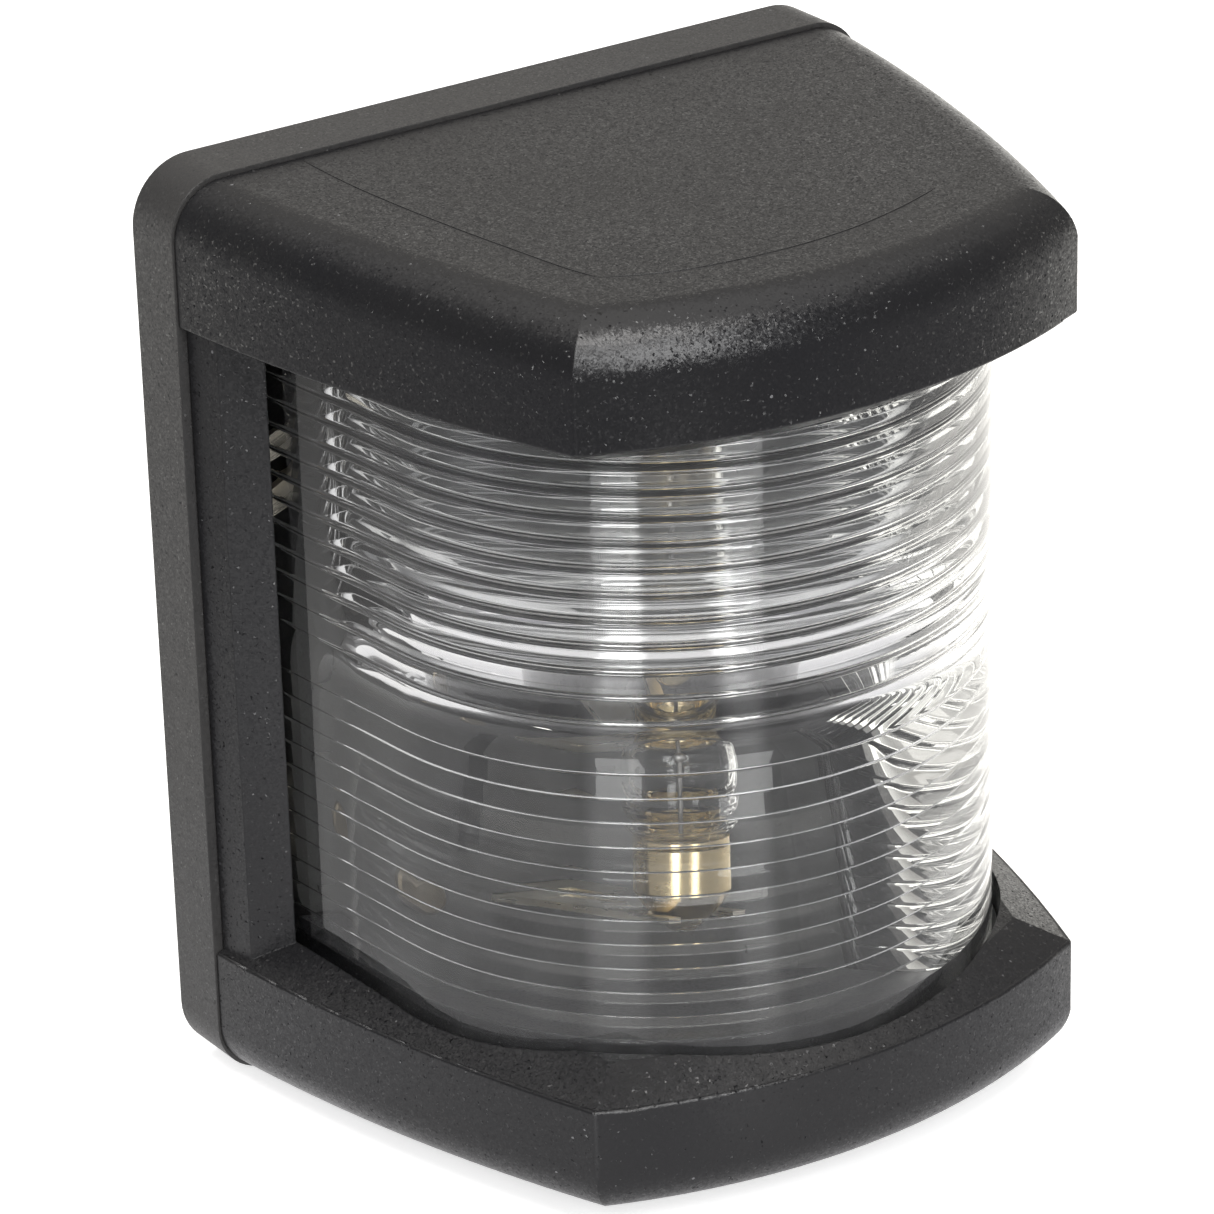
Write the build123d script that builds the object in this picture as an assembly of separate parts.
from build123d import *
import math
import os

# Navigation light, masthead pattern: a vertical festoon lamp behind a clear,
# horizontally ribbed U-shaped lens, in a black moulded cover on a wall base.
# Millimetres.  Origin: centre of the flat back face.  +Z up, light faces -Y.
# A "depth" is a distance in front of the back face, so it lies at Y = -depth.

# ---- base plate ----
BASE_H = 92.0               # at the back face
BASE_W = 78.2
BASE_R = 6.1
RIM_H = 91.6                # at the front rim
RIM_W = 77.7
RIM_R = 5.4
BASE_DEPTH = 6.56
FLOOR = 3.0                 # floor thickness
ROOT = FLOOR - 0.5          # depth where features on the floor start
RIM_WALL = 3.4
INNER_W = RIM_W - 2 * RIM_WALL
INNER_H = RIM_H - 2 * RIM_WALL
SEAM = 0.2                  # open joint line between base and cover
MOUNT_Z = 34.5              # fixing holes on the vertical centre line
MOUNT_R = 2.15
CABLE_X, CABLE_Z = -20.0, -36.2
CABLE_R = 2.5

# ---- front cover ----
COVER_REAR = BASE_DEPTH + SEAM
COVER_W = 77.3              # at the seam
COVER_H = 90.8
CORNER_X = 27.6             # half width at the front corners
CORNER_DEPTH = 54.2
SIDE_BOW = 1.6
FRONT_BOW = 6.3
HOOD_T = 13.4               # thickness of the top and bottom hoods at their edge
LIP_Z = COVER_H / 2 - HOOD_T    # hood faces towards the lens
TAPER = 1.5 / 47.24         # fall of the hoods' outer faces towards the front
BEZEL_INSET = 0.35
BEZEL_W = 4.6               # sloped bezel round the lens
BEZEL_RISE = 2.3
EDGE_R = 5.3                # outer edge of the hoods
CORNER_R = 0.8              # front corners of the hoods
LIP_R = 0.3
WALL = 2.4                  # moulded wall thickness
LENS_SIDE_T = 4.5           # wall between hood cavity and lens
CAVITY_LOW = LIP_Z + LENS_SIDE_T
CAVITY_HIGH = COVER_H / 2 - WALL

# Plan of a side screen: half width and depth of its three front points
SCREEN = [(37.9, COVER_REAR), (37.15, 10.6), (33.5, 12.95)]
SCREEN_IN_X, SCREEN_FRONT = SCREEN[-1]

# ---- lens ----
LENS_R = 31.3               # outer radius of the half round
LENS_CENTRE = 26.4          # depth of its centre
LENS_FRONT = LENS_CENTRE + LENS_R
LENS_FLARE = math.radians(5.0)  # the side walls open towards the rear
LENS_REAR = COVER_REAR + 0.1
LENS_WALL = 2.0             # thickness under the ribs
LENS_HALF_H = 33.9
RIB_END = 11.8              # depth where the ribs stop
RIB_PITCH = 2.47
RIBS = 11                   # ribs each side of the centre band
RIB_MAX = 2.0               # greatest rib depth
RIB_EASE = 0.02             # rib ends drawn short of the pitch lines
REFRACTIVE_INDEX = 1.49
SLOT_GAP = 0.8              # clearance of the lens slot in the hoods
SLOT_DEPTH = 2.6
SLOT_END_Z = LIP_Z + SLOT_DEPTH
FLANGE_X = 35.6             # half width over the lens flanges
FLANGE_T = 1.0

# ---- bulb, carrier and contacts ----
BULB_DEPTH = 29.0           # bulb axis
BULB_R = 5.25
BULB_HALF = 21.5            # half length over the cap tips
CAP_R = 4.25
LEG_Z = 19.6                # inner face of the contact legs
CONTACT_T = 0.7
CONTACT_REAR = 4.4          # depths of the contact strips' faces
CONTACT_FRONT = CONTACT_REAR + CONTACT_T
STRIP_Z = {1: (9.3, 17.3), -1: (-24.0, -16.0)}  # height spans: upper, lower
RIVET_X = (-20.0, -11.0)
RIVET_HOLE_R = 1.05
CARRIER_FRONT = 6.5
CARRIER_SCREW_X = 20
PEG_Z = 27.0                # pegs that locate the carrier

# ---- cover screw ----
SCREW_DEPTH = 12.0          # screw axis
SCREW_HOLE_R = 2.15
HOOD_FOOT = -COVER_H / 2 + 0.25     # underside of the bottom hood at the screw
SCREW_SEAT = HOOD_FOOT + 2.6        # roof of the screw recess

FACING_FRONT = Plane((0, 0, 0), x_dir=(1, 0, 0), z_dir=(0, -1, 0))


# ---- helpers: extents are two opposite limits, in either order ----
def box(x_a, x_b, rear, front, z_a, z_b):
    """Box between two X values, two depths and two heights."""
    return Pos((x_a + x_b) / 2, -(rear + front) / 2, (z_a + z_b) / 2) * Box(
        abs(x_b - x_a), abs(front - rear), abs(z_b - z_a))


def ycyl(x, z, radius, rear, front):
    """Cylinder along Y between two depths."""
    return (Pos(x, -(rear + front) / 2, z) * Rot(90, 0, 0)
            * Cylinder(radius, abs(front - rear)))


def ycone(x, z, rear_r, front_r, mid_depth, length):
    return Pos(x, -mid_depth, z) * Rot(90, 0, 0) * Cone(rear_r, front_r, length)


def zcyl(x, depth, radius, z_a, z_b):
    """Cylinder along Z between two heights."""
    return Pos(x, -depth, (z_a + z_b) / 2) * Cylinder(radius, abs(z_b - z_a))


def rrect(width, height, radius, depth):
    """Rounded rectangle facing the front at a depth."""
    plane = Plane((0, -depth, 0), x_dir=(1, 0, 0), z_dir=(0, -1, 0))
    return plane * RectangleRounded(width, height, radius)


def polygon(points):
    return make_face(Polyline(*points, points[0]))


def mirrored(half):
    """Outline completed by its mirror image in the first coordinate's axis."""
    return half + [(a, -b) for a, b in reversed(half)]


def circles(shape, axis):
    """Circular edges sorted along an axis."""
    return shape.edges().filter_by(GeomType.CIRCLE).sort_by(axis)


# ---- base plate ----
def rim_block(growth, radius, depth, length):
    """Block wider and higher than the base's recess by growth, running forwards."""
    return extrude(rrect(INNER_W + growth, INNER_H + growth, radius, depth), length)


def base_plate():
    body = loft([rrect(BASE_W, BASE_H, BASE_R, 0), rrect(RIM_W, RIM_H, RIM_R, BASE_DEPTH)])
    body -= rim_block(0, 2.4, FLOOR, BASE_DEPTH)
    # seal groove in the rim
    groove = rim_block(4.6, 4.4, BASE_DEPTH - 1.1, 3)
    groove -= rim_block(1.8, 3.2, BASE_DEPTH - 1.2, 4)
    body -= groove
    # screw lug below and locating tongue above, both reaching into the cover
    body += box(-6, 6, ROOT, 17, -41.1, -38.6)
    body += box(-10, 10, ROOT, 13, 38.9, 41.1)
    for side in (-1, 1):
        body += box(side * 8.4, side * 10, ROOT, 9, 37.4, 38.95)
    # screw slot, open at the front of the lug
    body -= box(-SCREW_HOLE_R, SCREW_HOLE_R, SCREW_DEPTH, 18, -42, -38)
    body -= zcyl(0, SCREW_DEPTH, SCREW_HOLE_R, -42, -38)
    # fixing holes, countersunk from the front
    for side in (1, -1):
        body -= ycyl(0, side * MOUNT_Z, MOUNT_R, -1, FLOOR + 1)
        body -= ycone(0, side * MOUNT_Z, MOUNT_R, 4.0, FLOOR - 0.9, 1.86)
    # cable hole
    body -= ycyl(CABLE_X, CABLE_Z, 4.0, -1, FLOOR + 1)
    # blind pilots for the carrier screws, and locating pegs
    for side in (1, -1):
        body -= ycyl(side * CARRIER_SCREW_X, 0, 1.25, 0.7, FLOOR + 1)
        body += ycyl(0, side * PEG_Z, 1.4, ROOT, FLOOR + 1.6)
    # stiffening ribs beside the carrier
    for z in (-20.0, 20.0):
        for side in (-1, 1):
            body += box(side * 33.9, side * 35.6, ROOT, 5.4, z - 0.6, z + 0.6)
    return body


def seal_cord():
    """Cord in the rim groove, with a little clearance all round."""
    cord = rim_block(4.5, 4.35, BASE_DEPTH - 1.05, 1.15)
    return cord - rim_block(1.9, 3.25, BASE_DEPTH - 1.5, 3)


def cable_grommet():
    grommet = ycyl(CABLE_X, CABLE_Z, 3.95, 0.02, FLOOR + 1.0)
    grommet += ycyl(CABLE_X, CABLE_Z, 5.5, FLOOR + 0.05, FLOOR + 1.5)
    grommet += ycone(CABLE_X, CABLE_Z, 4.6, 3.6, FLOOR + 2.4, 1.9)
    return grommet - ycyl(CABLE_X, CABLE_Z, CABLE_R, -1, 8)


# ---- bulb carrier and contacts: side is 1 for the upper, -1 for the lower ----
def contact(side):
    low, high = STRIP_Z[side]
    middle = (low + high) / 2
    half_w = 4              # half width of the leg
    end_x = -31.6           # outer end of the strip
    leg_end = side * (LEG_Z + CONTACT_T)
    body = box(end_x, half_w, CONTACT_REAR, CONTACT_FRONT, low, high)
    if side > 0:
        # the upper strip stops short of its leg and is carried up to it
        body += box(-half_w, half_w, CONTACT_REAR, CONTACT_FRONT, low, leg_end)
    body += box(-half_w, half_w, CONTACT_REAR, BULB_DEPTH + 3.6, side * LEG_Z, leg_end)
    # rounded fork that takes the cone of the cap
    cut = (side * (LEG_Z - 1), leg_end + side)
    body -= zcyl(0, BULB_DEPTH, 3.05, *cut)
    body -= box(-2.75, 2.75, BULB_DEPTH, BULB_DEPTH + 6, *cut)
    # blade tab: hole and trimmed corners
    body -= ycyl(-28.6, middle, 1.5, 0, 8)
    for end, z in ((-1, low), (1, high)):
        trim = polygon([(end_x - 0.1, z + end * 0.1), (end_x + 1.3, z + end * 0.1),
                        (end_x - 0.1, z - end * 1.4)])
        body -= extrude(FACING_FRONT * trim, 10)
    for x in RIVET_X:
        body -= ycyl(x, middle, RIVET_HOLE_R, 0, 8)
    # slot along the leg
    return body - box(-0.6, 0.6, 11, 20, *cut)


def contact_rivets():
    head_front = CARRIER_FRONT + 0.75
    rivets = []
    for side in (1, -1):
        z = sum(STRIP_Z[side]) / 2
        for x in RIVET_X:
            rivet = ycyl(x, z, 1.0, CONTACT_REAR - 0.5, head_front)
            rivet += ycyl(x, z, 1.7, CONTACT_REAR - 0.6, CONTACT_REAR - 0.02)
            head = ycyl(x, z, 1.9, CARRIER_FRONT + 0.02, head_front)
            head = chamfer(circles(head, Axis.Y)[0], 0.3)
            rivets.append(rivet + head)
    return rivets


def bulb_carrier():
    gap = 0.1               # clearance round the contacts
    half_w = 4.1            # half width of the leg channels
    channel_front = CONTACT_FRONT + 0.05
    body = box(-27.3, 27.3, FLOOR + 0.05, CARRIER_FRONT, -30.0, 30.0)
    body = fillet(body.edges().filter_by(Axis.Y), 2.0)
    # channels for the strips, open to the rear, and rivet holes
    for side in (1, -1):
        low, high = STRIP_Z[side]
        body -= box(-28, half_w, 0, channel_front, low - gap, high + gap)
        for x in RIVET_X:
            body -= ycyl(x, (low + high) / 2, RIVET_HOLE_R, 0, 8)
    # channel up to the upper leg, then a through slot for each leg
    leg_high = LEG_Z + CONTACT_T + gap
    body -= box(-half_w, half_w, 0, channel_front, STRIP_Z[1][0] - gap, leg_high)
    for side in (1, -1):
        body -= box(-half_w, half_w, 0, 8, side * (LEG_Z - gap), side * leg_high)
    # screw seats and peg holes
    for side in (1, -1):
        x = side * CARRIER_SCREW_X
        body -= ycyl(x, 0, 1.6, 0, 8)
        body -= ycyl(x, 0, 3.0, CARRIER_FRONT - 1.7, 8)
        body -= ycyl(0, side * PEG_Z, 1.5, 0, FLOOR + 1.8)
    # raised ribs beside the bulb and shallow horizontal ribs near the edges
    rib_root = CARRIER_FRONT - 0.5
    for side in (1, -1):
        body += box(side * 6.4, side * 7.6, rib_root, CARRIER_FRONT + 3.0, -16.0, 16.0)
    for z in (-27.4, -13.7, -6.85, 6.85, 21.5, 26.2):
        for side in (-1, 1):
            body += box(side * 21.8, side * 25.0, rib_root, CARRIER_FRONT + 0.35,
                        z - 0.35, z + 0.35)
    return body


def carrier_screws():
    head_front = CARRIER_FRONT - 0.1
    screws = []
    for side in (1, -1):
        x = side * CARRIER_SCREW_X
        screw = ycyl(x, 0, 1.2, 0.9, CARRIER_FRONT - 1.0)
        head = ycyl(x, 0, 2.7, CARRIER_FRONT - 1.66, head_front)
        screw += fillet(circles(head, Axis.Y)[0], 0.7)
        # cross recess
        screw -= Pos(x, -head_front, 0) * (Box(3.0, 1.4, 0.6) + Box(0.6, 1.4, 3.0))
        screws.append(screw)
    return screws


# ---- bulb ----
def at_bulb(shape):
    return Pos(0, -BULB_DEPTH, 0) * shape


def turned(points):
    """Solid of revolution on the bulb axis from an outline of (radius, z) points."""
    return at_bulb(revolve(Plane.XZ * polygon(points), Axis.Z))


def bulb_glass():
    """Open-ended tube, necked at both ends in a faceted quarter ellipse."""
    glass_t = 0.6
    shoulder = 12.0         # height where the necking starts
    neck_r, neck_end = 3.4, 17.2
    narrowing = BULB_R - neck_r
    facets = 7
    angles = [math.pi / 2 * i / facets for i in range(1, facets + 1)]
    outer = [(BULB_R, shoulder)]
    outer += [(neck_r + narrowing * math.cos(a), shoulder + 2.2 * math.sin(a))
              for a in angles]
    outer.append((neck_r, neck_end))
    inner = [(neck_r - glass_t, neck_end)]
    inner += [(neck_r - glass_t + narrowing * math.cos(a), shoulder - 0.2 + 2.0 * math.sin(a))
              for a in reversed(angles)]
    inner.append((BULB_R - glass_t, shoulder - 0.3))
    return turned(mirrored(outer + inner))


def bulb_cap(side):
    """Hollow cap with a conical end."""
    outline = [             # radius, distance from mid-height
        (3.5, 14.3), (CAP_R, 14.3), (CAP_R, 17.9), (CAP_R - 0.25, 18.25),
        (1.35, BULB_HALF - 0.3), (0.9, BULB_HALF), (0.0, BULB_HALF),
        (0.0, BULB_HALF - 1.4), (0.7, BULB_HALF - 1.5), (3.5, 17.5)]
    return turned([(radius, side * z) for radius, z in outline])


def bulb_filament():
    return at_bulb(Cylinder(0.42, 15.0))


def filament_leads():
    """A wire with a bead at each end of the filament."""
    leads = []
    for side in (1, -1):
        wire = Pos(0, 0, side * 13.6) * Cylinder(0.22, 12.1)
        bead = Pos(0, 0, side * 11.0) * Sphere(0.7)
        leads.append(at_bulb(wire + bead))
    return leads


# ---- lens path: half round with straight, slightly flared side walls ----
ARC_END = math.pi / 2 - LENS_FLARE
REARWARD = (math.cos(ARC_END), math.sin(ARC_END))   # along the +X side wall
OUTWARD = (math.sin(ARC_END), -math.cos(ARC_END))   # across it


def leg_point(offset, depth):
    """Plan point of the +X side wall, offset outward, at a depth."""
    radius = LENS_R + offset
    x, y = radius * OUTWARD[0], -LENS_CENTRE + radius * OUTWARD[1]
    run = (-depth - y) / REARWARD[1]
    return (x + run * REARWARD[0], -depth)


def lens_plan(offset, rear):
    """Closed plan region inside the lens path offset outward."""
    radius = LENS_R + offset
    x, y = radius * OUTWARD[0], -LENS_CENTRE + radius * OUTWARD[1]
    rear_x, rear_y = leg_point(offset, rear)
    edges = Curve() + [
        Line((-rear_x, rear_y), (-x, y)),
        ThreePointArc((-x, y), (0, -LENS_CENTRE - radius), (x, y)),
        Line((x, y), (rear_x, rear_y)),
        Line((rear_x, rear_y), (-rear_x, rear_y))]
    return make_face(edges)


def lens_band(outer_offset, inner_offset, rear, height):
    """U-shaped band following the lens path, standing on Z = 0."""
    return (extrude(lens_plan(outer_offset, rear), height)
            - Pos(0, 0, -1) * extrude(lens_plan(inner_offset, rear - 5), height + 2))


# ---- front cover ----
def bowed(start, end, sag):
    """Arc from start to end, bowed to the outside of the plan by sag."""
    run_x, run_y = end[0] - start[0], end[1] - start[1]
    length = math.hypot(run_x, run_y)
    middle = ((start[0] + end[0]) / 2 + run_y / length * sag,
              (start[1] + end[1]) / 2 - run_x / length * sag)
    return ThreePointArc(start, middle, end)


def hood_plan(inset, rear):
    """Plan of the hoods, drawn inset from the outside, from depth rear."""
    half_w = COVER_W / 2 - inset
    x, y = CORNER_X - inset * 0.85, -(CORNER_DEPTH - inset * 0.75)
    rear_left, rear_right = (-half_w, -rear), (half_w, -rear)
    edges = Curve() + [bowed(rear_left, (-x, y), SIDE_BOW),
                       bowed((-x, y), (x, y), FRONT_BOW),
                       bowed((x, y), rear_right, SIDE_BOW),
                       Line(rear_right, rear_left)]
    return make_face(edges)


def wedge(drop):
    """Everything between the two falling outer faces, each moved inward by drop."""
    def height(depth):
        return COVER_H / 2 - (depth - COVER_REAR) * TAPER - drop
    outline = mirrored([(5, height(-5)), (-75, height(75))])
    return extrude(Plane.YZ * polygon(outline), 60, both=True)


def outer_block():
    """Solid outer form of the cover, edges rounded."""
    bottom = Pos(0, 0, -COVER_H / 2 - 1)
    block = bottom * extrude(hood_plan(0, COVER_REAR), COVER_H + 2)
    block &= wedge(0)
    rims = [e for e in block.edges()
            if abs(e.center().Z) > 40 and abs(e.center().Y + COVER_REAR) > 0.5]
    block = fillet(rims, EDGE_R)
    # front corners eased by a prism of the same plan with rounded corners
    plan = hood_plan(0, COVER_REAR)
    plan = fillet([v for v in plan.vertices() if v.Y < -COVER_REAR - 5], CORNER_R)
    return block & bottom * extrude(plan, COVER_H + 2)


def lens_opening():
    """Space between the hoods, less the two side screens."""
    plan = polygon([(-50, 2), (50, 2), (50, -80), (-50, -80)])
    inner_y = -COVER_REAR + 1
    outline = [(SCREEN[0][0], inner_y)] + [(x, -depth) for x, depth in SCREEN]
    outline.append((SCREEN_IN_X, inner_y))
    for side in (-1, 1):
        plan -= polygon([(side * x, y) for x, y in outline])
    return Pos(0, 0, -LIP_Z) * extrude(plan, 2 * LIP_Z)


def hood_cavity(side):
    """Hollow of one hood, open to the rear."""
    rear = COVER_REAR - 2
    over = CAVITY_HIGH + 3
    cavity = Pos(0, 0, min(side * CAVITY_LOW, side * over)) * extrude(
        hood_plan(WALL, rear), over - CAVITY_LOW)
    cavity &= wedge(WALL)
    rim = [e for e in cavity.edges()
           if abs(e.center().Z) > 40 and abs(e.center().Y + rear) > 0.5]
    # guards the rounding: if the fillet fails, the cavity stays sharp-edged
    try:
        cavity = fillet(rim, 2.6)
    except Exception:
        pass
    return cavity


def front_cover():
    cover = outer_block() - lens_opening()
    # small radius on the lips facing the lens
    lips = [e for e in cover.edges()
            if abs(abs(e.center().Z) - LIP_Z) < 0.01 and e.length > 0.5
            and e.center().Y < -SCREEN_FRONT - 0.5]
    cover = fillet(lips, LIP_R)
    # sloped bezels rising from the lips to the lens, each on a thin root slab
    wide = hood_plan(BEZEL_INSET, COVER_REAR)
    narrow = hood_plan(BEZEL_INSET + BEZEL_W, COVER_REAR)
    for side in (1, -1):
        lip = Pos(0, 0, side * LIP_Z) * wide
        cover += loft([Pos(0, 0, side * (LIP_Z + 0.2)) * wide, lip], ruled=True)
        cover += loft([lip, Pos(0, 0, side * (LIP_Z - BEZEL_RISE)) * narrow], ruled=True)
    cut_rear = COVER_REAR - 3
    slot_rise = BEZEL_RISE + 0.5
    for side in (1, -1):
        cover -= hood_cavity(side)
        # slot for the lens edge
        slot = lens_band(SLOT_GAP, -LENS_WALL - RIB_MAX - 0.5, cut_rear,
                         SLOT_DEPTH + slot_rise)
        cover -= Pos(0, 0, LIP_Z - slot_rise if side > 0 else -SLOT_END_Z) * slot
        # rear relief round the lens flange
        cover -= box(-FLANGE_X - 0.4, FLANGE_X + 0.4, cut_rear, 8.0,
                     side * (LIP_Z - 6), side * LIP_Z)
    # pockets behind the side screens for the lens flange
    cover -= box(-FLANGE_X - 0.35, FLANGE_X + 0.35, cut_rear, 7.95, -LIP_Z, LIP_Z)
    # ribs either side of the base's locating tongue
    for side in (1, -1):
        cover += box(side * 10.4, side * 11.8, COVER_REAR + 0.1, 16,
                     CAVITY_LOW - 0.3, CAVITY_HIGH + 0.3)
    # screw boss in the bottom hood, with a recess from below
    cover += (zcyl(0, SCREW_DEPTH, 6.2, HOOD_FOOT + 0.6, -41.2)
              - box(-10, 10, 0, COVER_REAR, -50, -30))
    cover -= zcyl(0, SCREW_DEPTH, 4.1, HOOD_FOOT - 1, SCREW_SEAT)
    cover -= zcyl(0, SCREW_DEPTH, SCREW_HOLE_R, HOOD_FOOT - 1, -41.0)
    # nut cage, open downwards
    cage = box(-5.2, 5.2, SCREW_DEPTH - 5.0, SCREW_DEPTH + 5.2, -38.5, -36.3)
    cage -= box(-3.6, 3.6, SCREW_DEPTH - 3.6, SCREW_DEPTH + 3.6, -39.5, -36.52)
    cover += cage
    return cover - zcyl(0, SCREW_DEPTH, 2.3, -37, -35.6)


# ---- lens ----
def lens_section():
    """Section of the ribbed wall: (distance inward from the outer face, z) points."""
    half = [(LENS_WALL + 0.55, RIB_PITCH * 0.25),       # centre band
            (LENS_WALL + 0.35, RIB_PITCH * 0.62),
            (LENS_WALL, RIB_PITCH - RIB_EASE)]
    focal = LENS_FRONT - BULB_DEPTH
    for k in range(1, RIBS + 1):
        low, high = RIB_PITCH * k, RIB_PITCH * (k + 1)
        # prism angle that turns the ray from the bulb's centre to the horizontal
        ray = math.atan(((low + high) / 2) / focal)
        prism = math.atan(math.sin(ray) / (REFRACTIVE_INDEX - math.cos(ray)))
        rib = min(RIB_PITCH * math.tan(prism), RIB_MAX)
        half += [(LENS_WALL + rib, low + RIB_EASE), (LENS_WALL, high - RIB_EASE)]
    half += [(LENS_WALL, LENS_HALF_H), (0.0, LENS_HALF_H)]
    return mirrored(half)


def lens():
    section = polygon([(LENS_R - inward, z) for inward, z in lens_section()])
    centre = (0, -LENS_CENTRE, 0)
    # half round, swept from the -X side wall to the +X one
    start = (-math.sin(ARC_END), -math.cos(ARC_END), 0)
    plane = Plane(centre, x_dir=start, z_dir=(start[1], -start[0], 0))
    body = revolve(plane * section, Axis(centre, (0, 0, 1)), math.degrees(2 * ARC_END))
    # ribbed part of the +X side wall
    run = (LENS_CENTRE - LENS_R * OUTWARD[1] - RIB_END) / REARWARD[1]
    plane = Plane(centre, x_dir=(OUTWARD[0], OUTWARD[1], 0),
                  z_dir=(-REARWARD[0], -REARWARD[1], 0))
    leg = extrude(plane * section, -run)
    # plain rear end of the wall and its flange
    plain_front = RIB_END + 0.1
    outer_rear = leg_point(0, LENS_REAR)
    plan = polygon([leg_point(0, plain_front), outer_rear,
                    leg_point(-LENS_WALL, LENS_REAR), leg_point(-LENS_WALL, plain_front)])
    plain = Pos(0, 0, -LENS_HALF_H) * extrude(plan, 2 * LENS_HALF_H)
    flange = box(outer_rear[0] - 1.4, FLANGE_X, LENS_REAR, LENS_REAR + FLANGE_T, -31.6, 31.6)
    wall = leg + plain + flange
    body += wall
    return body + mirror(wall, Plane.YZ)


def lens_seal(side):
    """Strip between the lens edge and the end of its slot."""
    strip = lens_band(SLOT_GAP - 0.1, -LENS_WALL - 0.4, LENS_REAR,
                      SLOT_END_Z - LENS_HALF_H - 0.1)
    return Pos(0, 0, (LENS_HALF_H if side > 0 else -SLOT_END_Z) + 0.05) * strip


# ---- cover screw, driven upwards from below ----
def cover_screw():
    head_top = SCREW_SEAT - 0.6
    head_foot = head_top - 1.8
    shank = zcyl(0, SCREW_DEPTH, 1.95, head_top - 0.2, -36.75)
    shank = chamfer(circles(shank, Axis.Z)[-1], 0.5)
    head = zcyl(0, SCREW_DEPTH, 3.6, head_foot, head_top)
    head = fillet(circles(head, Axis.Z)[0], 0.9)
    cross = Box(4.2, 0.9, 2.2) + Box(0.9, 4.2, 2.2)
    return shank + head - Pos(0, -SCREW_DEPTH, head_foot) * cross


def screw_washer():
    return (zcyl(0, SCREW_DEPTH, 3.9, SCREW_SEAT - 0.57, SCREW_SEAT - 0.02)
            - zcyl(0, SCREW_DEPTH, 2.02, HOOD_FOOT, HOOD_FOOT + 4))


def captive_nut():
    nut = box(-3.5, 3.5, SCREW_DEPTH - 3.5, SCREW_DEPTH + 3.5, -38.52, -36.6)
    nut = chamfer(nut.edges().filter_by(Axis.Z), 0.4)
    return nut - zcyl(0, SCREW_DEPTH, 2.0, -40, -35)


PIECES = {
    "base_plate": base_plate(),
    "seal_cord": seal_cord(),
    "cable_grommet": cable_grommet(),
    "bulb_carrier": bulb_carrier(),
    "carrier_screws": carrier_screws(),
    "upper_contact": contact(1),
    "lower_contact": contact(-1),
    "contact_rivets": contact_rivets(),
    "bulb_glass": bulb_glass(),
    "bulb_cap_upper": bulb_cap(1),
    "bulb_cap_lower": bulb_cap(-1),
    "bulb_filament": bulb_filament(),
    "filament_leads": filament_leads(),
    "front_cover": front_cover(),
    "lens": lens(),
    "lens_seal_upper": lens_seal(1),
    "lens_seal_lower": lens_seal(-1),
    "cover_screw": cover_screw(),
    "screw_washer": screw_washer(),
    "captive_nut": captive_nut(),
}

os.makedirs("parts", exist_ok=True)
for name, built in PIECES.items():
    parts = built if isinstance(built, list) else [built]
    solids = [solid for part in parts for solid in part.solids()]
    shape = solids[0] if len(solids) == 1 else Compound(children=solids)
    shape.label = name
    export_step(shape, "parts/" + name + ".step")
